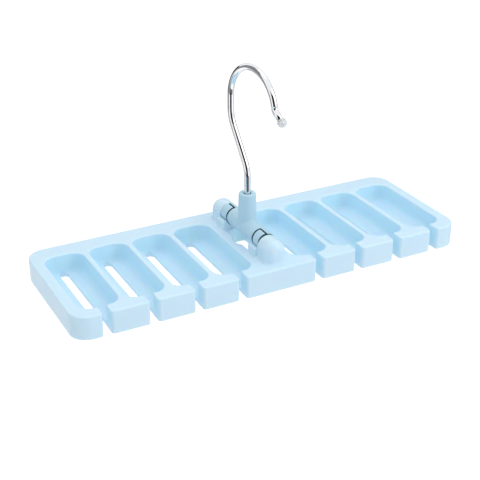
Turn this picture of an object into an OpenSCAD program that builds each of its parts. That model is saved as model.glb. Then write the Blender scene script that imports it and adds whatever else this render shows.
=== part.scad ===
// Tie hanger: a slotted rack, a pivoting swivel tee and a wire hook.
// Origin: centre of the rack's footprint, on its underside. +X runs along the rack,
// -Y is the open front of the slots and +Z is up. Millimetres.

/* [Rack] */
// Length of the rack
rack_length = 267; // [261:1:275]
// Depth of the rack, from the front blocks to the back bar
rack_depth = 92.5; // [91:0.5:100]
// Height of the rack
rack_height = 15; // [14.5:0.5:16]
// Radius of the two front corners
front_corner_radius = 11; // [6:1:12]
// Radius of the two back corners
back_corner_radius = 12; // [6:1:14]
// Depth of the blocks along the front
front_bar_depth = 9.3; // [8:0.1:10]
// Depth of the solid bar along the back
back_bar_depth = 13.5; // [12:0.5:16]

/* [Slots] */
// Slots on each side of the middle
slots_per_side = 4; // [3:1:4]
// Distance between neighbouring slots
slot_pitch = 29; // [28:0.5:29.5]
// Distance between the two slots beside the pivot
middle_pitch = 53.5; // [53:0.5:56]
// Thickness of the rib between two slots
rib_width = 3.6; // [3:0.1:5]
// Radius of the slots' corners, seen from above
slot_corner_radius = 8; // [5:0.5:9]
// Thickness of the floor in a slot
floor_thickness = 2.5; // [2:0.1:4]
// Width of the narrow slit in a slot's floor
slit_width = 5.5; // [4.5:0.1:7]
// Width of the gap between two front blocks
gap_width = 5; // [4.5:0.1:6]
// Radius of the upright edges beside a gap
gap_edge_radius = 2; // [1:0.1:2.2]

/* [Pivot] */
// Height of the pivot axis above the underside
pivot_height = 23.4; // [23.4:0.1:25]
// Radius of the cross tube and of the pins' collars
tube_radius = 5.95; // [5.6:0.05:6]
// Distance between the inner faces of the two ears
ear_gap = 52; // [50:0.5:54]
// Length of an ear along the pivot axis
ear_length = 13.7; // [12:0.1:15]
// Half the width of an ear, and the radius of its arched top
ear_radius = 7.05; // [6.6:0.05:7.5]
// Height at which an ear's arch starts
ear_arch_height = 21.7; // [21:0.1:22.5]
// Radius of the rounding on an ear's outer end
ear_end_radius = 5.5; // [3:0.5:6.5]
// Length of a pin's collar along the pivot axis
collar_length = 8.2; // [7:0.1:9]
// Radius of the pins' shafts
pin_radius = 3; // [2.5:0.1:3.1]

/* [Hook] */
// Diameter of the hook's wire
wire_diameter = 4; // [3.5:0.1:4]
// Radius of the loop, on the wire's centreline
loop_radius = 22.9; // [20:0.1:24]
// Diameter of the ball on the wire's tip
ball_diameter = 5.6; // [5:0.1:7]
// Direction in which the hook's mouth points, from +X
hook_heading = -83; // [-100:1:-80]
// Height of the top of the swivel socket
socket_top = 47; // [45:0.5:50]

/* [Hidden] */
$fn = 64;

// Clearances
running_gap = 0.05;
loose_gap = 0.3;
over = 1;

// Rack
half_length = rack_length / 2;
half_depth = rack_depth / 2;
slot_half = (slot_pitch - rib_width) / 2;
slot_front = -half_depth + front_bar_depth;
slot_back = half_depth - back_bar_depth;
slit_back = slot_back - 1;
slit_front_radius = 0.5;
slit_back_radius = slit_width / 2 - running_gap;
slot_centres = [
    for (side = [-1, 1], i = [0 : slots_per_side - 1])
        side * (middle_pitch / 2 + i * slot_pitch)
];
inner_edge_radius = 1.2;
edge_steps = 6;

// Opening under the pivot
opening_half_width = 7;
opening_half_length = 16.8;
opening_round_radius = 9.4;
recess_half_width = 11.5;
recess_half_length = 25;
recess_depth = 4.3;
recess_corner_radius = 4;

// Cheeks beside the collars
cheek_width = 1.6;
cheek_start = 16.8;
cheek_end = 24.3;
cheek_top = 20.7;

// Ears
ear_face = ear_gap / 2;
ear_seat_depth = 4;
key_size = 2;
key_depth = 1.5;
key_radius = 4.5;
key_angle = 165;

// Tee
stop_gap = 0.6;
tube_half = ear_face - loose_gap - collar_length - stop_gap;
tongue_half = ear_face - loose_gap;
journal_length = 8.6;
journal_bore_length = journal_length + loose_gap;
stop_angle = 90;
slit_angle = 3.4;
fold_angle = 90;
tongue_span = 116;
collar_span = 360 - tongue_span - fold_angle - 4 * slit_angle;
collar_bore_radius = pin_radius + 0.4;
edge_chamfer = 0.4;
socket_base = 29;
socket_foot_radius = 5.85;
socket_base_radius = 6;
socket_top_radius = 5.4;
socket_edge = 0.7;
socket_mouth_radius = 2.6;
socket_mouth_depth = 0.7;
swivel_pocket_radius = 4.2;
swivel_pocket_top = 20.6;

// Hook
wire_radius = wire_diameter / 2;
washer_radius = 3.8;
washer_thickness = 0.8;
washer_top = swivel_pocket_top - loose_gap;
head_radius = 3;
head_thickness = 1.2;
head_top = washer_top - washer_thickness;
stem_bend_height = 57.5;
neck_lean = 31.4;
neck_bend_radius = 18;
neck_length = 24;
shoulder_bend_radius = 20;
shoulder_length = 8.7;
loop_turn = 168;
tip_bend_radius = 5;
tip_turn = 42;
tip_length = 7;
// The wire's course above the stem: [straight length, bend radius, turn], left turns positive
hook_course = [
    [0, neck_bend_radius, neck_lean],
    [neck_length, shoulder_bend_radius, -neck_lean],
    [shoulder_length, loop_radius, -loop_turn],
    [0, tip_bend_radius, tip_turn]
];
ball_seat_depth = ball_diameter / 2;
bend_step = 7;
fewest_bend_steps = 3;
wire_sides = 20;
wire_facet_radius = wire_radius * 0.998;
stem_overlap = 0.5;
hook_line = concat(
    [[[0, stem_bend_height - stem_overlap], 90]],
    course_from(0, [0, stem_bend_height], 90)
);

// Points of an arc from angle a0 to a1
function arc(cx, cy, r, a0, a1, steps = 10) = [
    for (i = [0 : steps])
        let (a = a0 + (a1 - a0) * i / steps)
            [cx + r * cos(a), cy + r * sin(a)]
];

// Rounded rectangle with one radius for its front and one for its back corners
function rounded_outline(x, y0, y1, r0, r1) = concat(
    arc(x - r0, y0 + r0, r0, -90, 0),
    arc(x - r1, y1 - r1, r1, 0, 90),
    arc(-x + r1, y1 - r1, r1, 90, 180),
    arc(-x + r0, y0 + r0, r0, 180, 270)
);

// Solid turned about the pivot axis between two angles, measured in the X-Z plane from +X
module pivot_sector(r0, r1, y0, y1, from_angle, span) {
    translate([0, 0, pivot_height])
        rotate([0, -from_angle, 0])
            rotate([-90, 0, 0])
                mirror([0, 1, 0])
                    rotate_extrude(angle = span)
                        translate([r0, y0])
                            square([r1 - r0, y1 - y0]);
}

// Cylinder along the pivot axis
module pivot_cylinder(r, y0, y1) {
    translate([0, y0, pivot_height])
        rotate([-90, 0, 0])
            cylinder(h = y1 - y0, r = r);
}

// Cylinder along the pivot axis with both ends chamfered
module chamfered_pivot_cylinder(r, y0, y1) {
    translate([0, y0, pivot_height])
        rotate([-90, 0, 0])
            rotate_extrude()
                polygon([
                    [0, 0],
                    [r - edge_chamfer, 0],
                    [r, edge_chamfer],
                    [r, y1 - y0 - edge_chamfer],
                    [r - edge_chamfer, y1 - y0],
                    [0, y1 - y0]
                ]);
}

// One slot: its pocket, the slit in its floor and the gap at its front
module slot_cut(x) {
    translate([x, 0, floor_thickness])
        linear_extrude(rack_height)
            polygon(rounded_outline(
                slot_half, slot_front, slot_back, slot_corner_radius, slot_corner_radius
            ));
    translate([x, 0, -over])
        linear_extrude(floor_thickness + 2 * over)
            polygon(rounded_outline(
                slit_width / 2, slot_front - over, slit_back,
                slit_front_radius, slit_back_radius
            ));
    translate([x, 0, -over])
        linear_extrude(rack_height + 2 * over)
            polygon(gap_outline());
}

// Gap between two blocks, flared where their upright edges are rounded
function gap_outline() = let (
    g = gap_width / 2,
    r = gap_edge_radius,
    q = inner_edge_radius,
    front = -half_depth,
    back = slot_front
) concat(
    [[g + r, front - over]],
    arc(g + r, front + r, r, 270, 180, edge_steps),
    arc(g + q, back - q, q, 180, 90, edge_steps),
    [[g + q, back + over], [-g - q, back + over]],
    arc(-g - q, back - q, q, 90, 0, edge_steps),
    arc(-g - r, front + r, r, 0, -90, edge_steps),
    [[-g - r, front - over]]
);

// Through opening below the tee, and the relief round it on the underside
module middle_opening() {
    translate([-opening_half_width, -opening_half_length, -over])
        cube([2 * opening_half_width, 2 * opening_half_length, rack_height + 2 * over]);
    translate([0, 0, -over])
        cylinder(h = rack_height + 2 * over, r = opening_round_radius);
    translate([0, 0, -over])
        linear_extrude(recess_depth + over)
            polygon(rounded_outline(
                recess_half_width, -recess_half_length, recess_half_length,
                recess_corner_radius, recess_corner_radius
            ));
}

// Ear with an arched top and a rounded outer end, standing on the rack
module ear() {
    straight = ear_length - ear_end_radius;
    core = ear_radius - ear_end_radius;
    translate([0, ear_face, ear_arch_height])
        rotate([-90, 0, 0])
            rotate_extrude()
                polygon(concat(
                    [[0, 0], [ear_radius, 0]],
                    arc(core, straight, ear_end_radius, 0, 90),
                    [[0, ear_length]]
                ));
    translate([0, 0, rack_height - over])
        linear_extrude(ear_arch_height - rack_height + over)
            polygon(concat(
                [[-ear_radius, ear_face], [ear_radius, ear_face]],
                arc(core, ear_face + straight, ear_end_radius, 0, 90),
                arc(-core, ear_face + straight, ear_end_radius, 90, 180)
            ));
}

// Low cheeks that stand on the rack beside a pin's collar
module cheeks() {
    for (side = [-1, 1])
        translate([
            side > 0 ? opening_half_width : -opening_half_width - cheek_width,
            cheek_start,
            rack_height - over
        ])
            cube([cheek_width, cheek_end - cheek_start, cheek_top - rack_height + over]);
}

// Blind seat in an ear for a pin's tail and key
module ear_seat() {
    pivot_cylinder(pin_radius, ear_face - over, ear_face + ear_seat_depth);
    pin_key(over, running_gap);
}

// Key that stops a pin from turning in its ear
module pin_key(reach, gap) {
    translate([
        key_radius * cos(key_angle) - key_size / 2 - gap,
        ear_face - reach,
        pivot_height + key_radius * sin(key_angle) - key_size / 2 - gap
    ])
        cube([key_size + 2 * gap, reach + key_depth + gap, key_size + 2 * gap]);
}

module rack() {
    color([0.76, 0.89, 0.97])
    difference() {
        union() {
            linear_extrude(rack_height)
                polygon(rounded_outline(
                    half_length, -half_depth, half_depth,
                    front_corner_radius, back_corner_radius
                ));
            for (end = [0, 1])
                mirror([0, end, 0]) {
                    ear();
                    cheeks();
                }
        }
        for (x = slot_centres)
            slot_cut(x);
        middle_opening();
        for (end = [0, 1])
            mirror([0, end, 0])
                ear_seat();
    }
}

// Cross tube whose ends carry the tongues that stop the fold
module cross_tube() {
    difference() {
        chamfered_pivot_cylinder(tube_radius, -tongue_half, tongue_half);
        for (end = [0, 1])
            mirror([0, end, 0]) {
                pivot_cylinder(collar_bore_radius, tube_half, tongue_half + over);
                pivot_cylinder(
                    pin_radius + running_gap, tube_half - journal_bore_length, tongue_half
                );
                pivot_sector(
                    collar_bore_radius - over, tube_radius + over,
                    tube_half, tongue_half + over,
                    stop_angle - slit_angle, 360 - tongue_span
                );
            }
    }
}

// Tapered socket that carries the hook's stem
module socket() {
    rotate_extrude()
        polygon([
            [0, pivot_height],
            [socket_foot_radius, pivot_height],
            [socket_base_radius, socket_base],
            [socket_top_radius, socket_top - socket_edge],
            [socket_top_radius - socket_edge, socket_top],
            [0, socket_top]
        ]);
}

module pivot_tee() {
    color([0.66, 0.80, 0.87])
    difference() {
        union() {
            cross_tube();
            socket();
        }
        cylinder(h = socket_top + over, r = wire_radius + running_gap);
        translate([0, 0, socket_top - socket_mouth_depth])
            cylinder(
                h = 2 * socket_mouth_depth,
                r1 = wire_radius + running_gap,
                r2 = 2 * socket_mouth_radius - wire_radius - running_gap
            );
        cylinder(h = swivel_pocket_top, r = swivel_pocket_radius);
    }
}

// Pin with a shaft, a part-round collar that stops the tee, and a key
module pivot_pin() {
    collar_inner = ear_face - loose_gap - collar_length;
    difference() {
        chamfered_pivot_cylinder(tube_radius, collar_inner, ear_face - loose_gap);
        pivot_sector(
            pin_radius + running_gap, tube_radius + over,
            collar_inner - over, ear_face + over,
            stop_angle + slit_angle + collar_span, 360 - collar_span
        );
    }
    pivot_cylinder(
        pin_radius, tube_half - journal_length, ear_face + ear_seat_depth - loose_gap
    );
    pin_key(loose_gap + over, 0);
}

module rear_pivot_pin() {
    color([0.66, 0.80, 0.87])
        pivot_pin();
}

module front_pivot_pin() {
    color([0.66, 0.80, 0.87])
        mirror([0, 1, 0])
            pivot_pin();
}

// Points along one bend, after its start
function bend_points(start, heading, radius, turn) = let (
    side = sign(turn),
    steps = max(fewest_bend_steps, ceil(abs(turn) / bend_step))
) [
    for (i = [1 : steps])
        let (next = heading + turn * i / steps)
            start + radius * side * [sin(next) - sin(heading), cos(heading) - cos(next)]
];

// Headings that match the points of a bend
function bend_headings(heading, turn) = let (
    steps = max(fewest_bend_steps, ceil(abs(turn) / bend_step))
) [
    for (i = [1 : steps])
        heading + turn * i / steps
];

// The wire's centreline as [point, heading] pairs, bend by bend
function course_from(index, start, heading) =
    index == len(hook_course)
        ? [[start + tip_length * [cos(heading), sin(heading)], heading]]
        : let (
            step = hook_course[index],
            corner = start + step[0] * [cos(heading), sin(heading)],
            points = bend_points(corner, heading, step[1], step[2]),
            headings = bend_headings(heading, step[2])
        ) concat(
            step[0] > 0 ? [[corner, heading]] : [],
            [for (i = [0 : len(points) - 1]) [points[i], headings[i]]],
            course_from(index + 1, points[len(points) - 1], headings[len(headings) - 1])
        );

// Closed tube of the wire's thickness along a list of [point, heading] pairs
module wire_tube(course) {
    rings = len(course);
    polyhedron(
        points = [
            for (station = course, i = [0 : wire_sides - 1])
                let (
                    a = 360 * i / wire_sides,
                    across = [-sin(station[1]), cos(station[1])] * wire_facet_radius * cos(a)
                )
                    [
                        station[0][0] + across[0],
                        station[0][1] + across[1],
                        wire_facet_radius * sin(a)
                    ]
        ],
        faces = concat(
            [[for (i = [0 : wire_sides - 1]) i]],
            [
                for (ring = [0 : rings - 2], i = [0 : wire_sides - 1])
                    let (
                        next = (i + 1) % wire_sides,
                        low = ring * wire_sides,
                        high = low + wire_sides
                    )
                        [low + i, high + i, high + next, low + next]
            ],
            [[for (i = [wire_sides - 1 : -1 : 0]) (rings - 1) * wire_sides + i]]
        )
    );
}

// Puts a drawing in the hook's plane upright, in the hook's direction
module in_hook_plane() {
    rotate([0, 0, hook_heading])
        rotate([90, 0, 0])
            children();
}

module hook_wire() {
    color([0.78, 0.79, 0.81])
    union() {
        translate([0, 0, head_top - head_thickness / 2])
            cylinder(h = stem_bend_height - head_top + head_thickness / 2, r = wire_radius);
        translate([0, 0, head_top - head_thickness])
            cylinder(h = head_thickness, r = head_radius);
        in_hook_plane()
            wire_tube(hook_line);
    }
}

module tip_ball() {
    tip = hook_line[len(hook_line) - 1];
    color([0.95, 0.96, 0.97])
    in_hook_plane()
        translate(tip[0])
            difference() {
                sphere(d = ball_diameter);
                rotate(tip[1])
                    rotate([0, -90, 0])
                        cylinder(h = ball_seat_depth + over, r = wire_radius);
            }
}

module swivel_washer() {
    color([0.72, 0.73, 0.75])
    translate([0, 0, head_top])
        difference() {
            cylinder(h = washer_thickness, r = washer_radius);
            translate([0, 0, -over])
                cylinder(h = washer_thickness + 2 * over, r = wire_radius + running_gap);
        }
}

rack();
pivot_tee();
front_pivot_pin();
rear_pivot_pin();
hook_wire();
tip_ball();
swivel_washer();
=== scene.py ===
import math

import bpy
import numpy as np
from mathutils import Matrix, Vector
from mathutils.geometry import tessellate_polygon


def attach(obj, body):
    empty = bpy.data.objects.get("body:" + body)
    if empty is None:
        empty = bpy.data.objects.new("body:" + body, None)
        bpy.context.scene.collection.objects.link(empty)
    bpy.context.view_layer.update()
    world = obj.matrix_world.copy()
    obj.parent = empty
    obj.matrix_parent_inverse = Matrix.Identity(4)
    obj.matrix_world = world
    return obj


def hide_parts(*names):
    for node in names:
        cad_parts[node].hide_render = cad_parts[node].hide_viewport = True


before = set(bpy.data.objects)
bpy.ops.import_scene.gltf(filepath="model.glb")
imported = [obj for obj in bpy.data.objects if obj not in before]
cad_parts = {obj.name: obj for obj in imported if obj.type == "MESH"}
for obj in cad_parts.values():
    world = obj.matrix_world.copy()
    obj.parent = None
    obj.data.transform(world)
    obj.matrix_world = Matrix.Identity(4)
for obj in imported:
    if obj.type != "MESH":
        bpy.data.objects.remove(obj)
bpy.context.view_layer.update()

# Shapes are worked out in millimetres, as in the part's own source, and written in metres
MM = 0.001

# Rack
RACK_LENGTH = 267.0
RACK_DEPTH = 92.5
RACK_HEIGHT = 15.0
FRONT_CORNER = 11.0
BACK_CORNER = 12.0
FRONT_BAR = 9.3
BACK_BAR = 13.5
SLOTS_PER_SIDE = 4
SLOT_PITCH = 29.0
MIDDLE_PITCH = 53.5
RIB = 3.6
SLOT_CORNER = 8.0
FLOOR = 2.5
SLIT_WIDTH = 5.5
GAP_WIDTH = 5.0
GAP_EDGE = 2.0
INNER_EDGE = 1.2
TOP_ROUNDING = 0.8
BOTTOM_ROUNDING = 0.35
FLOOR_FILLET = 5.0
SLIT_EDGE = 0.5
SCOOP_SHARE = 0.7

# Opening under the pivot
OPENING_HALF_WIDTH = 7.0
OPENING_HALF_LENGTH = 16.8
OPENING_ROUND = 9.4
OPENING_CORNER = 0.8
OPENING_RIM = 0.5
RECESS_HALF_WIDTH = 11.5
RECESS_HALF_LENGTH = 25.0
RECESS_DEPTH = 4.3
RECESS_CORNER = 4.0

# Pivot
PIVOT_HEIGHT = 23.4
TUBE_RADIUS = 5.95
EAR_FACE = 26.0
EAR_LENGTH = 13.7
EAR_RADIUS = 7.05
EAR_ARCH = 21.7
EAR_END = 5.5
EAR_FILLET = 2.2
EAR_FACE_EDGE = 0.35
CHEEK_WIDTH = 1.6
CHEEK_START = 16.8
CHEEK_END = 25.9
CHEEK_TOP = 20.7
CHEEK_EDGE = 0.5
CHEEK_FILLET = 0.7
TROUGH_RADIUS = 6.2
TROUGH_EDGE = 0.3
PIN_RADIUS = 3.0
PIN_SEAT = 4.0
PIN_END_GAP = 0.3
PIN_END_EDGE = 0.4
SEAT_END_EDGE = 0.1
COLLAR_START = 18.2
COLLAR_END = 25.7
FRONT_COLLAR_END = COLLAR_END - 0.9
REAR_COLLAR_END = COLLAR_END + 0.25
JOURNAL_START = 8.3
TUBE_HALF = 16.8
TUBE_EDGE = 0.2
GAP_WALL_EDGE = 0.15
SLIT_ANGLE = 6.0
TONGUE_SPAN = 113.4
COLLAR_SPAN = 137.8
TONGUE_INNER = 3.4
SOCKET_BASE = 29.0
SOCKET_BASE_RADIUS = 6.0
SOCKET_TOP = 47.0
SOCKET_TOP_RADIUS = 5.4
SOCKET_EDGE = 0.9
SOCKET_FILLET = 1.3
SOCKET_FOOT_DRAFT = 0.012
MOUTH_RADIUS = 2.5
MOUTH_DEPTH = 6.0
MOUTH_CHAMFER = 0.3
SWIVEL_RADIUS = 4.2
SWIVEL_TOP = 20.6
HOLE_EDGE = 0.25
CLEARANCE = 0.05

# Hook
WIRE_RADIUS = 2.0
HOOK_HEADING = -83.0
STEM_FOOT = 18.3
STEM_BEND = 57.5
HOOK_COURSE = [
    (0.0, 18.0, 31.4),
    (24.0, 20.0, -31.4),
    (8.7, 22.9, -168.0),
    (0.0, 5.0, 42.0),
]
TIP_LENGTH = 7.0
BALL_RADIUS = 2.8
HEAD_RADIUS = 3.0
HEAD_THICKNESS = 1.2
HEAD_CHAMFER = 0.3

# Fineness of the meshes
EAR_GRID = 0.4
TEE_GRID = 0.27
ROUND_SIDES = 40

# Worked out from the above
HALF_LENGTH = RACK_LENGTH / 2
HALF_DEPTH = RACK_DEPTH / 2
SLOT_HALF = (SLOT_PITCH - RIB) / 2
SLOT_FRONT = -HALF_DEPTH + FRONT_BAR
SLOT_BACK = HALF_DEPTH - BACK_BAR
SLIT_HALF = SLIT_WIDTH / 2
SLIT_BACK = SLOT_BACK - 1.0
GAP_HALF = GAP_WIDTH / 2
SLOT_CENTRES = sorted(
    side * (MIDDLE_PITCH / 2 + i * SLOT_PITCH)
    for side in (-1, 1)
    for i in range(SLOTS_PER_SIDE)
)


# Mesh helpers
class Shape:
    """Points and faces of one mesh, in millimetres."""

    def __init__(self):
        self.points = []
        self.faces = []

    def add_row(self, row):
        start = len(self.points)
        self.points.extend(row)
        return list(range(start, start + len(row)))

    def join_rows(self, rows):
        """Bands of quads from each closed row of points to the next."""
        for upper, lower in zip(rows, rows[1:]):
            count = len(upper)
            for i in range(count):
                j = (i + 1) % count
                self.faces.append((upper[i], lower[i], lower[j], upper[j]))

    def fill(self, loops, upward):
        """Closes a flat region between an outer loop and its holes."""
        flat = [i for loop in loops for i in loop]
        outline = [[Vector(self.points[i]) for i in loop] for loop in loops]
        faces = [tuple(flat[k] for k in triangle) for triangle in tessellate_polygon(outline)]
        area = 0.0
        for a, b, c in faces:
            p, q, r = (self.points[i] for i in (a, b, c))
            area += (q[0] - p[0]) * (r[1] - p[1]) - (q[1] - p[1]) * (r[0] - p[0])
        same = (area > 0) == upward
        self.faces.extend(face if same else face[::-1] for face in faces)


def make_object(name, points, faces, normals=None):
    mesh = bpy.data.meshes.new(name)
    mesh.from_pydata([tuple(c * MM for c in p) for p in points], [], faces)
    mesh.validate()
    mesh.polygons.foreach_set("use_smooth", [True] * len(mesh.polygons))
    if normals is not None:
        mesh.normals_split_custom_set_from_vertices(normals)
    mesh.update()
    piece = bpy.data.objects.new(name, mesh)
    bpy.context.scene.collection.objects.link(piece)
    return piece


def arc(cx, cy, radius, start, end, steps):
    """Points of an arc with their outward directions."""
    found = []
    for i in range(steps + 1):
        a = math.radians(start + (end - start) * i / steps)
        c, s = math.cos(a), math.sin(a)
        found.append((cx + radius * c, cy + radius * s, c, s))
    return found


def facing_in(outline):
    return [(px, py, -nx, -ny) for px, py, nx, ny in outline]


def smooth_ramp(t):
    t = min(max(t, 0.0), 1.0)
    return t * t * (3 - 2 * t)


# Rounded solids as distance functions, meshed on a grid
def rounded_max(a, b, radius):
    """Intersection of two solids with a round edge."""
    u = np.maximum(radius + a, 0)
    v = np.maximum(radius + b, 0)
    return np.minimum(-radius, np.maximum(a, b)) + np.sqrt(u * u + v * v)


def rounded_min(a, b, radius):
    """Union of two solids with a fillet."""
    return -rounded_max(-a, -b, radius)


def sector(x, z, start, span):
    """Wedge about the pivot axis, under a half turn, from an angle in degrees above +X."""
    a = math.radians(start)
    b = math.radians(start + span)
    from_start = x * math.sin(a) - z * math.cos(a)
    to_end = z * math.cos(b) - x * math.sin(b)
    return np.maximum(from_start, to_end)


def grid_surface(solid, low, high, step):
    """Quads round the zero surface of a distance function, with exact points and normals."""
    axes = [np.arange(lo, hi + step, step) for lo, hi in zip(low, high)]
    x, y, z = np.meshgrid(*axes, indexing="ij")
    value = solid(x, y, z)
    cells = tuple(n - 1 for n in value.shape)
    total = np.zeros(cells + (3,))
    count = np.zeros(cells)
    crossings = []
    for axis in range(3):
        first = np.take(value, range(value.shape[axis] - 1), axis)
        second = np.take(value, range(1, value.shape[axis]), axis)
        cut = (first < 0) != (second < 0)
        index = np.argwhere(cut)
        a, b = first[cut], second[cut]
        place = index.astype(float)
        place[:, axis] += a / (a - b)
        others = [k for k in range(3) if k != axis]
        around = []
        for d0, d1 in ((0, 0), (-1, 0), (-1, -1), (0, -1)):
            cell = index.copy()
            cell[:, others[0]] += d0
            cell[:, others[1]] += d1
            around.append(cell)
        inside = np.all(
            [np.all((c >= 0) & (c < cells), axis=1) for c in around], axis=0
        )
        for cell in around:
            key = tuple(cell[inside].T)
            np.add.at(total, key, place[inside])
            np.add.at(count, key, 1)
        crossings.append(([c[inside] for c in around], a[inside] < 0, axis))
    used = count > 0
    number = np.full(cells, -1)
    number[used] = np.arange(used.sum())
    points = np.array(low) + step * total[used] / count[used][:, None]
    for _ in range(4):
        distance, slope = distance_and_slope(solid, points)
        size = np.maximum((slope * slope).sum(1), 0.25)
        move = np.clip(distance / size, -step, step)
        points = points - slope * move[:, None]
    _, slope = distance_and_slope(solid, points)
    normals = slope / np.linalg.norm(slope, axis=1)[:, None]
    faces = []
    for around, leaves, axis in crossings:
        corners = np.stack([number[tuple(c.T)] for c in around], axis=1)
        flip = leaves if axis == 1 else ~leaves
        corners[flip] = corners[flip][:, ::-1]
        faces.extend(map(tuple, corners.tolist()))
    return points, faces, normals


def distance_and_slope(solid, points, reach=0.01):
    slope = np.zeros_like(points)
    for axis in range(3):
        shift = np.zeros(3)
        shift[axis] = reach
        ahead = solid(*(points + shift).T)
        behind = solid(*(points - shift).T)
        slope[:, axis] = (ahead - behind) / (2 * reach)
    return solid(*points.T), slope


# Rack
def half_slot_columns():
    """Left half of a slot, from the gap's mouth to the middle of the slot's back.

    A column is the wall's place and direction from above, and for a column in the pocket
    the matching place and direction on the slit's edge, and how far the floor has opened.
    """
    edge_y = -HALF_DEPTH + GAP_EDGE
    plain = arc(-GAP_HALF - GAP_EDGE, edge_y, GAP_EDGE, 270, 360, 7)
    plain += [(-GAP_HALF, -HALF_DEPTH + inset, 1, 0) for inset in (3.5, 5.5)]
    inner = arc(-GAP_HALF - INNER_EDGE, SLOT_FRONT - INNER_EDGE, INNER_EDGE, 0, 90, 8)
    plain += [c for c in inner if c[0] >= -SLIT_HALF]
    front = [c for c in inner if c[0] < -SLIT_HALF]
    corner_x = -SLOT_HALF + SLOT_CORNER
    front.append(((corner_x - GAP_HALF - INNER_EDGE) / 2, SLOT_FRONT, 0, 1))
    side_start = SLOT_FRONT + SLOT_CORNER
    side_end = SLOT_BACK - SLOT_CORNER
    front += facing_in(arc(corner_x, side_start, SLOT_CORNER, 270, 180, 10))
    side_steps = 12
    side = [
        (-SLOT_HALF, side_start + (side_end - side_start) * i / side_steps, 1, 0)
        for i in range(1, side_steps)
    ]
    back = facing_in(arc(corner_x, side_end, SLOT_CORNER, 180, 90, 10))
    back += [(corner_x * t, SLOT_BACK, 0, -1) for t in (0.75, 0.5, 0.25, 0)]
    columns = [(c, None, 0) for c in plain]
    columns += front_slit_match(front, plain[-1], side_start)
    columns += [(c, (-SLIT_HALF, c[1], 1, 0), 1) for c in side]
    columns += back_slit_match(back, side_end)
    return columns


def run_lengths(columns, first):
    lengths = []
    total = 0.0
    last = first
    for c in columns:
        total += math.dist(c[:2], last[:2])
        lengths.append(total)
        last = c
    return lengths


def front_slit_match(columns, first, side_start):
    lengths = run_lengths(columns, first)
    start = first[1]
    opening_run = 5.0
    found = []
    for c, length in zip(columns, lengths):
        y = start + (side_start - start) * length / lengths[-1]
        found.append((c, (-SLIT_HALF, y, 1, 0), smooth_ramp(length / opening_run)))
    return found


def back_slit_match(columns, side_end):
    lengths = run_lengths(columns, columns[0])
    straight = SLIT_BACK - SLIT_HALF - side_end
    whole = straight + SLIT_HALF * math.pi / 2
    found = []
    for c, length in zip(columns, lengths):
        along = whole * length / lengths[-1]
        if along <= straight:
            match = (-SLIT_HALF, side_end + along, 1, 0)
        else:
            a = math.pi - (along - straight) / SLIT_HALF
            match = (
                SLIT_HALF * math.cos(a),
                SLIT_BACK - SLIT_HALF + SLIT_HALF * math.sin(a),
                -math.cos(a),
                -math.sin(a),
            )
        found.append((c, match, 1))
    return found


def rack_columns():
    """All columns of the rack's wall, anticlockwise from its front left corner."""
    half = half_slot_columns()
    front_y = -HALF_DEPTH + FRONT_CORNER
    columns = rack_corner(-HALF_LENGTH + FRONT_CORNER, front_y, FRONT_CORNER, 180)
    for centre in SLOT_CENTRES:
        columns += [shifted(c, centre, 1) for c in half]
        columns += [shifted(c, centre, -1) for c in half[-2::-1]]
    columns += rack_corner(HALF_LENGTH - FRONT_CORNER, front_y, FRONT_CORNER, 270)
    for side, start in ((1, 0), (-1, 90)):
        back_x = side * (HALF_LENGTH - BACK_CORNER)
        columns += rack_corner(back_x, HALF_DEPTH - BACK_CORNER, BACK_CORNER, start)
    return columns


def rack_corner(cx, cy, radius, start):
    return [(c, None, 0) for c in arc(cx, cy, radius, start, start + 90, 14)]


def shifted(column, centre, side):
    (px, py, nx, ny), match, opened = column
    if match is not None:
        mx, my, ux, uy = match
        match = (centre + side * mx, my, side * ux, uy)
    return (centre + side * px, py, side * nx, ny), match, opened


def column_heights():
    """Rows of a column as (kind, share) pairs, from the top face to the underside."""
    rows = [("top", i / 6) for i in range(7)]
    rows += [("wall", 0.5)]
    rows += [("floor", i / 9) for i in range(10)]
    rows += [("edge", i / 3) for i in range(1, 4)]
    rows += [("foot", i / 3) for i in range(4)]
    return rows


def floor_place(share, length, fillet):
    """Distance from the wall and rise over the floor, along a scooped floor of a given length."""
    if length <= fillet:
        turn = math.acos(1 - length / fillet) * share
    else:
        turn = min(share / SCOOP_SHARE, 1) * math.pi / 2
    reach = fillet * (1 - math.cos(turn))
    if length > fillet:
        reach += (length - fillet) * max(share - SCOOP_SHARE, 0) / (1 - SCOOP_SHARE)
    return reach, fillet * (1 - math.sin(turn))


def column_point(column, kind, share):
    (px, py, nx, ny), match, opened = column
    turn = share * math.pi / 2
    if kind == "top":
        inset = TOP_ROUNDING * (1 - math.sin(turn))
        z = RACK_HEIGHT - TOP_ROUNDING * (1 - math.cos(turn))
        return px - nx * inset, py - ny * inset, z
    fillet = FLOOR_FILLET if match is None else max(FLOOR_FILLET * opened, 0.05)
    if kind == "wall":
        top = RACK_HEIGHT - TOP_ROUNDING
        return px, py, top + (FLOOR + fillet - top) * share
    if match is None:
        return plain_column_point(column, kind, share)
    edge = SLIT_EDGE * opened
    sx, sy, mx, my = match
    end = (sx - mx * edge, sy - my * edge)
    length = math.dist((px, py), end)
    rise = floor_place(1, length, fillet)[1] if length > 0 else fillet
    if kind == "floor":
        reach, height = floor_place(share, max(length, 1e-6), fillet)
        part = reach / length if length > 0 else 0
        return px + (end[0] - px) * part, py + (end[1] - py) * part, FLOOR + height
    if kind == "edge":
        inset = edge * (1 - math.sin(turn))
        drop = SLIT_EDGE * (1 - math.cos(turn))
        return sx - mx * inset, sy - my * inset, FLOOR + rise - drop
    inset = BOTTOM_ROUNDING * (1 - math.cos(turn))
    z = BOTTOM_ROUNDING * (1 - math.sin(turn))
    return sx - mx * inset, sy - my * inset, z


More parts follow.
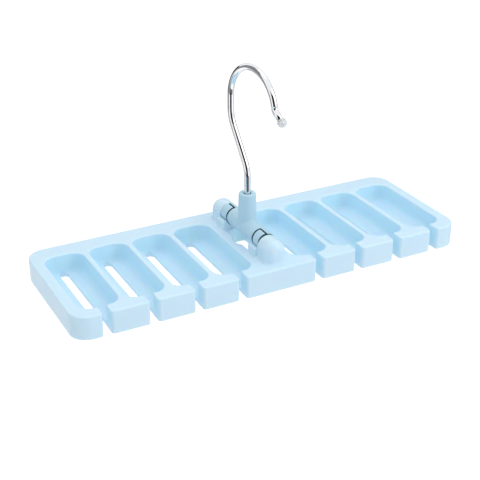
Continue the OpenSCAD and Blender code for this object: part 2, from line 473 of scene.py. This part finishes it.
def plain_column_point(column, kind, share):
    (px, py, nx, ny), _, _ = column
    turn = share * math.pi / 2
    if kind == "floor":
        return px, py, FLOOR + FLOOR_FILLET * (1 - share)
    if kind == "edge":
        return px, py, FLOOR - SLIT_EDGE * share
    inset = BOTTOM_ROUNDING * (1 - math.cos(turn))
    return px - nx * inset, py - ny * inset, BOTTOM_ROUNDING * (1 - math.sin(turn))


def opening_outline():
    """Clockwise outline of the opening under the pivot, with its inward directions."""
    wide, long, bend = OPENING_HALF_WIDTH, OPENING_HALF_LENGTH, OPENING_ROUND
    corner = OPENING_CORNER
    bulge = math.degrees(math.acos(wide / bend))
    bend_end = math.sqrt(bend * bend - wide * wide)
    quarter = [(wide, y, 1, 0) for y in (bend_end + 0.6, long - 5, long - corner - 1)]
    quarter += arc(wide - corner, long - corner, corner, 0, 90, 4)
    right = arc(0, 0, bend, -bulge, bulge, 14) + quarter
    loop = list(right)
    loop += [(-px, py, -nx, ny) for px, py, nx, ny in reversed(quarter)]
    loop += [(-px, -py, -nx, -ny) for px, py, nx, ny in right]
    loop += [(px, -py, nx, -ny) for px, py, nx, ny in reversed(quarter)]
    return facing_in(reversed(loop))


def recess_outline():
    """Clockwise outline of the recess in the underside, with its inward directions."""
    corner = RECESS_CORNER
    x, y = RECESS_HALF_WIDTH - corner, RECESS_HALF_LENGTH - corner
    loop = []
    for cx, cy, start in ((x, -y, 270), (x, y, 0), (-x, y, 90), (-x, -y, 180)):
        loop += arc(cx, cy, corner, start, start + 90, 6)
    return facing_in(reversed(loop))


def add_rack_body(shape):
    columns = rack_columns()
    rows = [
        shape.add_row([column_point(c, kind, share) for c in columns])
        for kind, share in column_heights()
    ]
    shape.join_rows(rows)
    opening = opening_outline()
    walls = []
    for i in range(5):
        turn = i / 4 * math.pi / 2
        out = OPENING_RIM * (1 - math.sin(turn))
        z = RACK_HEIGHT - OPENING_RIM * (1 - math.cos(turn))
        rim = [(px - nx * out, py - ny * out, z) for px, py, nx, ny in opening]
        walls.append(shape.add_row(rim))
    walls.append(shape.add_row([(px, py, RECESS_DEPTH) for px, py, _, _ in opening]))
    shape.join_rows(walls)
    recess = recess_outline()
    ceiling = shape.add_row([(px, py, RECESS_DEPTH) for px, py, _, _ in recess])
    foot = shape.add_row([(px, py, 0) for px, py, _, _ in recess])
    shape.join_rows([ceiling, foot])
    shape.fill([rows[0], walls[0]], True)
    shape.fill([ceiling, walls[-1]], False)
    shape.fill([rows[-1], foot], False)


def ear_solid(x, y, z):
    """Ear with a domed top and outer end, and the saddle under the collar beside it."""
    from_axis = np.sqrt(x * x + (z - PIVOT_HEIGHT) ** 2)
    across = np.sqrt(x * x + np.maximum(z - EAR_ARCH, 0) ** 2) - EAR_RADIUS
    ear = rounded_max(across, y - (EAR_FACE + EAR_LENGTH), EAR_END)
    ear = rounded_max(ear, EAR_FACE - y, EAR_FACE_EDGE)
    seat = rounded_max(from_axis - PIN_RADIUS, y - EAR_FACE - PIN_SEAT, SEAT_END_EDGE)
    ear = rounded_max(ear, -seat, GAP_WALL_EDGE)
    standing = rounded_min(ear, z - RACK_HEIGHT, EAR_FILLET)
    side = np.abs(x) - OPENING_HALF_WIDTH - CHEEK_WIDTH
    ends = np.abs(y - (CHEEK_START + CHEEK_END) / 2) - (CHEEK_END - CHEEK_START) / 2
    saddle = rounded_max(side, ends, CHEEK_EDGE)
    saddle = rounded_max(saddle, z - CHEEK_TOP, CHEEK_EDGE)
    saddle = rounded_max(saddle, TROUGH_RADIUS - from_axis, TROUGH_EDGE)
    return rounded_min(standing, saddle, CHEEK_FILLET)


def open_loops(faces):
    """Loops of the edges that only one face has."""
    edges = {(a, b) for f in faces for a, b in zip(f, f[1:] + f[:1])}
    following = {a: b for a, b in sorted(edges) if (b, a) not in edges}
    loops = []
    while following:
        loop = [min(following)]
        ahead = following.pop(loop[0])
        while ahead != loop[0]:
            loop.append(ahead)
            ahead = following.pop(ahead)
        loops.append(loop)
    return loops


def ear_shape():
    """Closed solid of the rear ear and its saddle, sunk a hair into the rack's top face."""
    margin = 4.0
    low = (-EAR_RADIUS - margin, CHEEK_START - 2.5, RACK_HEIGHT - 0.9)
    high = (EAR_RADIUS + margin, EAR_FACE + EAR_LENGTH + margin, PIVOT_HEIGHT + 6.6)
    points, faces, _ = grid_surface(ear_solid, low, high, EAR_GRID)
    sink = 0.004
    above = points[:, 2] > RACK_HEIGHT + sink
    points[~above, 2] = RACK_HEIGHT - sink
    kept = [f for f in faces if above[list(f)].any()]
    used = sorted({i for f in kept for i in f})
    renumber = {old: new for new, old in enumerate(used)}
    shape = Shape()
    shape.points = [tuple(points[i]) for i in used]
    shape.faces = [tuple(renumber[i] for i in f) for f in kept]
    shape.fill(open_loops(shape.faces), False)
    return shape


def fuse(piece, others):
    """Unites closed meshes into the first one."""
    for other in others:
        union = piece.modifiers.new("union", "BOOLEAN")
        union.operation = "UNION"
        union.solver = "MANIFOLD"
        union.object = other
    graph = bpy.context.evaluated_depsgraph_get()
    fused = bpy.data.meshes.new_from_object(piece.evaluated_get(graph))
    piece.modifiers.clear()
    piece.data = fused
    for other in others:
        bpy.data.objects.remove(other)
    fused.polygons.foreach_set("use_smooth", [True] * len(fused.polygons))


def build_rack():
    shape = Shape()
    add_rack_body(shape)
    piece = make_object("rack_moulding", shape.points, shape.faces)
    rear = ear_shape()
    front = [(x, -y, z) for x, y, z in rear.points]
    ears = [
        make_object("rear_ear", rear.points, rear.faces),
        make_object("front_ear", front, [f[::-1] for f in rear.faces]),
    ]
    fuse(piece, ears)
    weighted = piece.modifiers.new("even_normals", "WEIGHTED_NORMAL")
    weighted.weight = 50
    return piece


# Tee and pins
def tee_solid(x, y, z):
    """Cross tube with its tongues and a tapered socket, bored for the pins and the hook."""
    h = z - PIVOT_HEIGHT
    from_axis = np.sqrt(x * x + h * h)
    along = np.abs(y)
    tube = rounded_max(from_axis - TUBE_RADIUS, along - TUBE_HALF, TUBE_EDGE)
    wedge = sector(x, h, 90 - SLIT_ANGLE - TONGUE_SPAN, TONGUE_SPAN)
    ring = rounded_max(from_axis - TUBE_RADIUS, along - COLLAR_END, TUBE_EDGE)
    ring = np.maximum(ring, TONGUE_INNER - from_axis)
    tongue = rounded_max(ring, wedge, GAP_WALL_EDGE)
    tongue = np.maximum(tongue, TUBE_HALF - 2 - along)
    from_stem = np.sqrt(x * x + y * y)
    rise = (z - SOCKET_BASE) / (SOCKET_TOP - SOCKET_BASE)
    radius = SOCKET_BASE_RADIUS + (SOCKET_TOP_RADIUS - SOCKET_BASE_RADIUS) * np.maximum(rise, 0)
    foot_radius = SOCKET_BASE_RADIUS + SOCKET_FOOT_DRAFT * (z - SOCKET_BASE)
    radius = np.where(rise < 0, foot_radius, radius)
    socket = rounded_max(from_stem - radius, z - SOCKET_TOP, SOCKET_EDGE)
    socket = np.maximum(socket, -h)
    body = rounded_min(np.minimum(tube, tongue), socket, SOCKET_FILLET)
    bore = np.maximum(from_axis - (PIN_RADIUS + CLEARANCE), JOURNAL_START - along)
    mouth_foot = SOCKET_TOP - MOUTH_DEPTH
    stem_hole = np.where(
        z > mouth_foot,
        from_stem - MOUTH_RADIUS,
        np.maximum(from_stem - (WIRE_RADIUS + CLEARANCE), z - mouth_foot),
    )
    mouth = from_stem - (MOUTH_RADIUS + MOUTH_CHAMFER) + (SOCKET_TOP - z)
    swivel = rounded_max(from_stem - SWIVEL_RADIUS, z - SWIVEL_TOP, TUBE_EDGE)
    body = np.maximum(body, -bore)
    body = rounded_max(body, -np.minimum(stem_hole, mouth), HOLE_EDGE)
    return rounded_max(body, -swivel, HOLE_EDGE)


def build_tee():
    low = (-TUBE_RADIUS - 0.9, -COLLAR_END - 0.7, PIVOT_HEIGHT - TUBE_RADIUS - 0.7)
    high = (TUBE_RADIUS + 0.9, COLLAR_END + 0.7, SOCKET_TOP + 0.8)
    points, faces, normals = grid_surface(tee_solid, low, high, TEE_GRID)
    return make_object("tee_moulding", points.tolist(), faces, normals)


def pin_solid(x, y, z, collar_end):
    """Rear pin: a shaft from the tube's bore to its seat in the ear, and a part-round collar."""
    h = z - PIVOT_HEIGHT
    from_axis = np.sqrt(x * x + h * h)
    wedge = sector(x, h, 90 + SLIT_ANGLE, COLLAR_SPAN)
    middle = (COLLAR_START + collar_end) / 2
    ends = np.abs(y - middle) - (collar_end - COLLAR_START) / 2
    collar = rounded_max(from_axis - TUBE_RADIUS, ends, TUBE_EDGE)
    collar = rounded_max(collar, wedge, GAP_WALL_EDGE)
    shaft_end = EAR_FACE + PIN_SEAT - PIN_END_GAP
    shaft_middle = (JOURNAL_START + shaft_end) / 2
    shaft_ends = np.abs(y - shaft_middle) - (shaft_end - JOURNAL_START) / 2
    shaft = rounded_max(from_axis - PIN_RADIUS, shaft_ends, PIN_END_EDGE)
    return rounded_min(collar, shaft, TUBE_EDGE)


def build_pin(name, side, collar_end):
    """Pin on one side of the tee, -1 for the front and 1 for the rear."""
    margin = 0.8
    low = (-TUBE_RADIUS - margin, JOURNAL_START - margin, PIVOT_HEIGHT - TUBE_RADIUS - margin)
    high = (
        TUBE_RADIUS + margin,
        EAR_FACE + PIN_SEAT + margin,
        PIVOT_HEIGHT + TUBE_RADIUS + margin,
    )
    points, faces, normals = grid_surface(
        lambda x, y, z: pin_solid(x, y, z, collar_end), low, high, TEE_GRID
    )
    if side < 0:
        flip = np.array((1, -1, 1))
        points = points * flip
        normals = normals * flip
        faces = [f[::-1] for f in faces]
    return make_object(name, points.tolist(), faces, normals)


# Hook
def hook_line():
    """Centreline of the wire above its stem, in the hook's plane, as (s, z, heading)."""
    step = math.radians(2.5)
    s = 0.0
    z = STEM_BEND
    heading = math.pi / 2
    line = [(s, z - 0.01, heading)]
    for straight, radius, turn in HOOK_COURSE:
        s += straight * math.cos(heading)
        z += straight * math.sin(heading)
        line.append((s, z, heading))
        side = math.copysign(1, turn)
        steps = max(4, math.ceil(abs(math.radians(turn)) / step))
        for _ in range(steps):
            ahead = heading + math.radians(turn) / steps
            s += radius * side * (math.sin(ahead) - math.sin(heading))
            z += radius * side * (math.cos(heading) - math.cos(ahead))
            heading = ahead
            line.append((s, z, heading))
    return line


def in_hook_plane(s, side, z):
    a = math.radians(HOOK_HEADING)
    return s * math.cos(a) - side * math.sin(a), s * math.sin(a) + side * math.cos(a), z


def round_row(shape, s, z, heading, radius, way):
    """Ring of points about the wire's line, numbered one way (1) or the other (-1)."""
    ring = []
    for i in range(ROUND_SIDES):
        a = way * 2 * math.pi * i / ROUND_SIDES
        across = radius * math.cos(a)
        right = s - across * math.sin(heading)
        up = z + across * math.cos(heading)
        ring.append(in_hook_plane(right, radius * math.sin(a), up))
    return shape.add_row(ring)


def build_wire():
    """Headed wire from its foot in the tee to its tip, and the tip's place and heading."""
    line = hook_line()
    s, z, heading = line[-1]
    tip = (s + TIP_LENGTH * math.cos(heading), z + TIP_LENGTH * math.sin(heading), heading)
    head_top = STEM_FOOT + HEAD_THICKNESS
    foot = [
        (STEM_FOOT, HEAD_RADIUS - HEAD_CHAMFER),
        (STEM_FOOT + HEAD_CHAMFER, HEAD_RADIUS),
        (head_top - HEAD_CHAMFER, HEAD_RADIUS),
        (head_top, HEAD_RADIUS - HEAD_CHAMFER),
        (head_top, WIRE_RADIUS),
        (SOCKET_TOP, WIRE_RADIUS),
    ]
    shape = Shape()
    rows = [round_row(shape, 0.0, z, math.pi / 2, radius, -1) for z, radius in foot]
    rows += [round_row(shape, *place, WIRE_RADIUS, -1) for place in line + [tip]]
    shape.join_rows(rows)
    shape.faces.append(tuple(rows[0]))
    shape.faces.append(tuple(reversed(rows[-1])))
    return make_object("hook_rod", shape.points, shape.faces), tip


def build_ball(tip):
    """Bead on the wire's tip, a ball with a short neck where the wire goes in."""
    s, z, heading = tip
    neck = WIRE_RADIUS + 0.12
    start = math.asin(neck / BALL_RADIUS)
    profile = []
    for i in range(19):
        a = start + (math.pi - start) * i / 18
        profile.append((-BALL_RADIUS * math.cos(a), BALL_RADIUS * math.sin(a)))
    first = profile[0][0]
    profile = [(first + 0.5, neck - 0.1), (first - 0.05, neck - 0.06)] + profile
    shape = Shape()
    rows = []
    for along, radius in profile:
        right = s + along * math.cos(heading)
        up = z + along * math.sin(heading)
        rows.append(round_row(shape, right, up, heading, max(radius, 0.01), 1))
    shape.join_rows(rows)
    shape.faces.append(tuple(reversed(rows[-1])))
    return make_object("tip_bead", shape.points, shape.faces)


# Materials
RACK_COLOURS = ((0.625, 0.822, 0.985), (0.61, 0.812, 0.98))
TEE_COLOURS = ((0.485, 0.705, 0.83), (0.47, 0.695, 0.82))
CHROME_COLOURS = ((0.87, 0.88, 0.90), (0.84, 0.85, 0.88))
STEEL_COLOURS = ((0.42, 0.43, 0.45), (0.34, 0.35, 0.37))
BEAD_COLOURS = ((0.96, 0.965, 0.97), (0.93, 0.94, 0.95))
PLASTIC_IOR = 1.49
GLOW_RADIUS = (0.25, 0.55, 1.0)
GLOW_SCALE = 5.0
# Painted shade for the pivot's gaps: a lighter one on the shafts, a near-black one on the gap
# walls
SHAFT_SHADE_COLOUR = (0.24, 0.38, 0.46)
GAP_SHADE_COLOUR = (0.01, 0.09, 0.13)
# Where the painted shade on the shafts turns to the darker painted shade on the gap walls, and
# that to the plastic's own colour, from the pivot's axis
SHAFT_SHADE_RADIUS = PIN_RADIUS + 0.2
SHAFT_SHADE_END = TONGUE_INNER + 0.8
GAP_SHADE_RADIUS = 5.7
GAP_SHADE_END = TUBE_RADIUS - 0.05
# Where the slots' walls get the painted shade: distances in from the rack's outer wall, and
# heights
# Painted shade colour for the walls inside the slots
POCKET_SHADE_COLOUR = (0.60, 0.855, 1.0)
POCKET_SHADE_RIM = (0.5, 3.0)
POCKET_SHADE_BANDS = ((RACK_HEIGHT, RACK_HEIGHT - 2.5), (FLOOR + 0.1, FLOOR + 1.8))


def new_material(name):
    material = bpy.data.materials.new(name)
    material.use_nodes = True
    return material, *shader_of(material)


def shader_of(material):
    nodes, links = material.node_tree.nodes, material.node_tree.links
    return nodes, links, next(n for n in nodes if n.type == "BSDF_PRINCIPLED")


def noise(nodes, links, place, scale, detail):
    texture = nodes.new("ShaderNodeTexNoise")
    texture.inputs["Scale"].default_value = scale
    texture.inputs["Detail"].default_value = detail
    links.new(place.outputs["Object"], texture.inputs["Vector"])
    return texture


def map_range(nodes, links, source, start, end, low=0.0, high=1.0, kind="LINEAR"):
    node = nodes.new("ShaderNodeMapRange")
    node.interpolation_type = kind
    node.inputs["From Min"].default_value = start
    node.inputs["From Max"].default_value = end
    node.inputs["To Min"].default_value = low
    node.inputs["To Max"].default_value = high
    links.new(source, node.inputs["Value"])
    return node.outputs["Result"]


def noise_range(nodes, links, texture, low=0.0, high=1.0):
    """Spreads the middle of a noise's values over a range."""
    return map_range(nodes, links, texture.outputs["Fac"], 0.3, 0.7, low, high)


def colour_blend(nodes, links, factor, first, second):
    """Mix of two colours, each a triple or another node's output."""
    node = nodes.new("ShaderNodeMix")
    node.data_type = "RGBA"
    links.new(factor, node.inputs[0])
    for socket, colour in ((node.inputs[6], first), (node.inputs[7], second)):
        if isinstance(colour, tuple):
            socket.default_value = (*colour, 1)
        else:
            links.new(colour, socket)
    return node.outputs[2]


def vector_math(nodes, links, operation, source, value=None):
    node = nodes.new("ShaderNodeVectorMath")
    node.operation = operation
    links.new(source, node.inputs[0])
    if value is not None:
        node.inputs[1].default_value = value
    return node.outputs["Value" if operation == "LENGTH" else "Vector"]


def value_math(nodes, links, operation, first, second):
    """Node for two values, the second one a number or another node's output."""
    node = nodes.new("ShaderNodeMath")
    node.operation = operation
    links.new(first, node.inputs[0])
    if isinstance(second, float):
        node.inputs[1].default_value = second
    else:
        links.new(second, node.inputs[1])
    return node.outputs[0]


def add_bump(nodes, links, shader, texture, distance, strength):
    bump = nodes.new("ShaderNodeBump")
    bump.inputs["Distance"].default_value = distance
    bump.inputs["Strength"].default_value = strength
    links.new(texture.outputs["Fac"], bump.inputs["Height"])
    links.new(bump.outputs["Normal"], shader.inputs["Normal"])


def moulded_plastic(name, colours, roughness, glow):
    """Moulded plastic: slow flow clouding, a fine satin skin and faint rubbing marks."""
    material, nodes, links, shader = new_material(name)
    place = nodes.new("ShaderNodeTexCoord")
    cloud = noise(nodes, links, place, scale=55, detail=3)
    skin = noise(nodes, links, place, scale=2600, detail=4)
    rub = noise(nodes, links, place, scale=240, detail=6)
    flow = colour_blend(nodes, links, noise_range(nodes, links, cloud), *colours)
    links.new(flow, shader.inputs["Base Color"])
    rubbed = noise_range(nodes, links, rub, roughness - 0.05, roughness + 0.07)
    links.new(rubbed, shader.inputs["Roughness"])
    add_bump(nodes, links, shader, skin, distance=0.00002, strength=0.25)
    shader.inputs["IOR"].default_value = PLASTIC_IOR
    shader.inputs["Subsurface Weight"].default_value = glow
    shader.inputs["Subsurface Radius"].default_value = GLOW_RADIUS
    shader.inputs["Subsurface Scale"].default_value = GLOW_SCALE * MM
    return material, flow


def paint_gap_shade(plastic, flow):
    """Painted shade: near-black on the walls of the pivot's gaps, and a lighter painted shade on
    the shafts inside them.
    """
    nodes, links, shader = shader_of(plastic)
    place = nodes.new("ShaderNodeTexCoord")
    pivot = (0, 0, PIVOT_HEIGHT * MM)
    from_axis = vector_math(nodes, links, "SUBTRACT", place.outputs["Object"], pivot)
    across = vector_math(nodes, links, "MULTIPLY", from_axis, (1, 0, 1))
    radius = vector_math(nodes, links, "LENGTH", across)
    past_shaft = map_range(nodes, links, radius, SHAFT_SHADE_RADIUS * MM, SHAFT_SHADE_END * MM)
    past_wall = map_range(nodes, links, radius, GAP_SHADE_RADIUS * MM, GAP_SHADE_END * MM)
    gap_shade = colour_blend(nodes, links, past_shaft, SHAFT_SHADE_COLOUR, GAP_SHADE_COLOUR)
    mixed = colour_blend(nodes, links, past_wall, gap_shade, flow)
    links.new(mixed, shader.inputs["Base Color"])


def paint_pocket_shade(plastic, flow):
    """Painted shade: a more saturated blue, lower in red, on the walls inside the rack's slots,
    standing in for the tinted shade there.
    """
    nodes, links, shader = shader_of(plastic)
    place = nodes.new("ShaderNodeTexCoord")
    corner = (FRONT_CORNER + BACK_CORNER) / 2
    core = ((HALF_LENGTH - corner) * MM, (HALF_DEPTH - corner) * MM, 0)
    level = vector_math(nodes, links, "MULTIPLY", place.outputs["Object"], (1, 1, 0))
    folded = vector_math(nodes, links, "ABSOLUTE", level)
    beyond = vector_math(nodes, links, "SUBTRACT", folded, core)
    outside = vector_math(nodes, links, "MAXIMUM", beyond, (0, 0, 0))
    outward = vector_math(nodes, links, "LENGTH", outside)
    rim, inner = (corner - inset for inset in POCKET_SHADE_RIM)
    share = map_range(nodes, links, outward, inner * MM, rim * MM, 1, 0)
    split = nodes.new("ShaderNodeSeparateXYZ")
    links.new(place.outputs["Object"], split.inputs[0])
    for clear, full in POCKET_SHADE_BANDS:
        height = map_range(
            nodes, links, split.outputs["Z"], clear * MM, full * MM, kind="SMOOTHSTEP"
        )
        share = value_math(nodes, links, "MULTIPLY", share, height)
    mixed = colour_blend(nodes, links, share, flow, POCKET_SHADE_COLOUR)
    links.new(mixed, shader.inputs["Base Color"])


def chrome_plate():
    material, nodes, links, shader = new_material("hook_chrome")
    place = nodes.new("ShaderNodeTexCoord")
    haze = noise(nodes, links, place, scale=420, detail=5)
    drawn = noise(nodes, links, place, scale=1500, detail=2)
    colour = colour_blend(nodes, links, noise_range(nodes, links, haze), *CHROME_COLOURS)
    links.new(colour, shader.inputs["Base Color"])
    links.new(noise_range(nodes, links, haze, 0.035, 0.075), shader.inputs["Roughness"])
    add_bump(nodes, links, shader, drawn, distance=0.000004, strength=0.2)
    shader.inputs["Metallic"].default_value = 1
    return material


def plain_steel():
    material, nodes, links, shader = new_material("washer_steel")
    place = nodes.new("ShaderNodeTexCoord")
    grain = noise(nodes, links, place, scale=900, detail=6)
    colour = colour_blend(nodes, links, noise_range(nodes, links, grain), *STEEL_COLOURS)
    links.new(colour, shader.inputs["Base Color"])
    links.new(noise_range(nodes, links, grain, 0.3, 0.42), shader.inputs["Roughness"])
    add_bump(nodes, links, shader, grain, distance=0.00001, strength=0.3)
    shader.inputs["Metallic"].default_value = 1
    return material


def clear_bead():
    material, nodes, links, shader = new_material("tip_plastic")
    place = nodes.new("ShaderNodeTexCoord")
    cloud = noise(nodes, links, place, scale=500, detail=3)
    colour = colour_blend(nodes, links, noise_range(nodes, links, cloud), *BEAD_COLOURS)
    links.new(colour, shader.inputs["Base Color"])
    links.new(noise_range(nodes, links, cloud, 0.03, 0.08), shader.inputs["Roughness"])
    shader.inputs["Transmission Weight"].default_value = 0.45
    shader.inputs["IOR"].default_value = PLASTIC_IOR
    return material


def finish_piece(piece, material, body, nodes):
    piece.data.materials.clear()
    piece.data.materials.append(material)
    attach(piece, body)
    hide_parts(*nodes)


# Studio
FLOOR_HEIGHT = -0.16
FLOOR_HALF = 6.0
AMBIENT = 0.81
WHITE_SHARE = 0.75
WHITE_STRENGTH = 1.2
FLAG_DISTANCE = 0.38
FLAG_CENTRE = (0, 0, 0.06)
# Cards that only polished metal mirrors: bearings from and to, heights from and to, shade
FLAGS = (
    (178, 238, -20, 38, 0.01),
    (178, 238, -33, -20, 0.12),
    (238, 302, -33, -14, 0.3),
    (140, 178, -33, -16, 0.28),
    (285, 335, -14, 60, 0.26),
    (78, 102, -33, 30, 0.38),
    (335, 420, -33, 14, 0.05),
)
# Round lamps that face the rack: name, place, size, power
LAMPS = (
    ("key_light", (0.85, -0.95, 0.75), 1.0, 4.2),
    ("top_light", (0.05, 0.15, 1.35), 0.8, 3.0),
)
SENSOR_WIDTH = 36
FOCAL_LENGTH = 78.75
CAMERA_PLACE = (-0.2837, -0.53157, 0.31835)
CAMERA_TILT = 63.165
CAMERA_HEADING = -27.651


def stage_piece(name, points, faces):
    """Piece of the studio with a bare material, and that material's nodes, links and output."""
    mesh = bpy.data.meshes.new(name)
    mesh.from_pydata(points, [], faces)
    piece = bpy.data.objects.new(name, mesh)
    bpy.context.scene.collection.objects.link(piece)
    material = bpy.data.materials.new(name)
    material.use_nodes = True
    mesh.materials.append(material)
    nodes = material.node_tree.nodes
    nodes.clear()
    return piece, nodes, material.node_tree.links, nodes.new("ShaderNodeOutputMaterial")


def shader_mix(nodes, links, factor, first, second):
    node = nodes.new("ShaderNodeMixShader")
    links.new(factor, node.inputs[0])
    links.new(first, node.inputs[1])
    links.new(second, node.inputs[2])
    return node.outputs[0]


def seen_rays(nodes, links):
    """One for the rays that show the background: camera, glossy and transmission rays."""
    path = nodes.new("ShaderNodeLightPath")
    seen = path.outputs["Is Camera Ray"]
    for kind in ("Is Glossy Ray", "Is Transmission Ray"):
        seen = value_math(nodes, links, "MAXIMUM", seen, path.outputs[kind])
    return seen


def build_floor():
    """White floor that stays even: part of what is seen of it is its own light."""
    corners = ((-1, -1), (1, -1), (1, 1), (-1, 1))
    points = [(x * FLOOR_HALF, y * FLOOR_HALF, FLOOR_HEIGHT) for x, y in corners]
    floor, nodes, links, output = stage_piece("floor", points, [(0, 1, 2, 3)])
    paper = nodes.new("ShaderNodeBsdfDiffuse")
    paper.inputs["Color"].default_value = (0.9, 0.9, 0.9, 1)
    light = nodes.new("ShaderNodeEmission")
    light.inputs["Strength"].default_value = WHITE_STRENGTH
    share = value_math(nodes, links, "MULTIPLY", seen_rays(nodes, links), WHITE_SHARE)
    lit = shader_mix(nodes, links, share, paper.outputs[0], light.outputs[0])
    links.new(lit, output.inputs["Surface"])


def build_world():
    """White background, with a dimmer white as the light of the room."""
    world = bpy.data.worlds.new("studio")
    bpy.context.scene.world = world
    world.use_nodes = True
    nodes, links = world.node_tree.nodes, world.node_tree.links
    nodes.clear()
    output = nodes.new("ShaderNodeOutputWorld")
    backdrop = nodes.new("ShaderNodeBackground")
    backdrop.inputs["Color"].default_value = (1, 1, 1, 1)
    ambient = nodes.new("ShaderNodeBackground")
    ambient.inputs["Color"].default_value = (1, 1, 1, 1)
    ambient.inputs["Strength"].default_value = AMBIENT
    seen = seen_rays(nodes, links)
    final = shader_mix(nodes, links, seen, ambient.outputs[0], backdrop.outputs[0])
    links.new(final, output.inputs["Surface"])


def build_flag(name, bearings, heights, shade):
    """Card of the studio, round the object and seen only in its polished metal."""
    steps = 12
    points = []
    for i in range(steps + 1):
        for j in range(steps + 1):
            a = math.radians(bearings[0] + (bearings[1] - bearings[0]) * i / steps)
            h = math.radians(heights[0] + (heights[1] - heights[0]) * j / steps)
            way = Vector((math.cos(h) * math.sin(a), math.cos(h) * math.cos(a), math.sin(h)))
            points.append(Vector(FLAG_CENTRE) + way * FLAG_DISTANCE)
    faces = []
    for i in range(steps):
        for j in range(steps):
            k = i * (steps + 1) + j
            faces.append((k, k + 1, k + steps + 2, k + steps + 1))
    flag, nodes, links, output = stage_piece(name, points, faces)
    card = nodes.new("ShaderNodeEmission")
    card.inputs["Color"].default_value = (shade, shade, shade, 1)
    links.new(card.outputs[0], output.inputs["Surface"])
    for kind in ("camera", "diffuse", "transmission", "shadow", "volume_scatter"):
        setattr(flag, "visible_" + kind, False)


def add_light(name, place, size, power):
    data = bpy.data.lights.new(name, "AREA")
    data.shape = "DISK"
    data.size = size
    data.energy = power
    lamp = bpy.data.objects.new(name, data)
    bpy.context.scene.collection.objects.link(lamp)
    lamp.location = place
    lamp.rotation_euler = (-Vector(place)).to_track_quat("-Z", "Y").to_euler()


def build_camera():
    data = bpy.data.cameras.new("camera")
    data.sensor_width = SENSOR_WIDTH
    data.lens = FOCAL_LENGTH
    data.dof.use_dof = False
    data.clip_start = 0.01
    camera = bpy.data.objects.new("camera", data)
    bpy.context.scene.collection.objects.link(camera)
    camera.location = CAMERA_PLACE
    camera.rotation_euler = (math.radians(CAMERA_TILT), 0, math.radians(CAMERA_HEADING))
    bpy.context.scene.camera = camera


rack_blue, rack_flow = moulded_plastic("rack_plastic", RACK_COLOURS, roughness=0.38, glow=0.4)
tee_blue, tee_flow = moulded_plastic("tee_plastic", TEE_COLOURS, roughness=0.42, glow=0.05)
# Painted shade on the walls inside the rack's slots
paint_pocket_shade(rack_blue, rack_flow)
# Painted shade in the pivot's gaps, on the tee and the pins
paint_gap_shade(tee_blue, tee_flow)

finish_piece(build_rack(), rack_blue, "rack_body", ["rack"])
finish_piece(build_tee(), tee_blue, "tee_body", ["pivot_tee"])
front_pin = build_pin("front_pin", -1, FRONT_COLLAR_END)
finish_piece(front_pin, tee_blue, "rack_body", ["front_pivot_pin"])
rear_pin = build_pin("rear_pin", 1, REAR_COLLAR_END)
finish_piece(rear_pin, tee_blue, "rack_body", ["rear_pivot_pin"])
hook, hook_tip = build_wire()
finish_piece(hook, chrome_plate(), "hook_body", ["hook_wire"])
finish_piece(build_ball(hook_tip), clear_bead(), "hook_body", ["tip_ball"])
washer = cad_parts["swivel_washer"]
washer.data.materials.clear()
washer.data.materials.append(plain_steel())

build_floor()
build_world()
for i, (left, right, low, high, shade) in enumerate(FLAGS):
    build_flag(f"flag_{i + 1}", (left, right), (low, high), shade)
for name, place, size, power in LAMPS:
    add_light(name, place, size, power)
build_camera()
bpy.context.scene.view_settings.view_transform = "Standard"
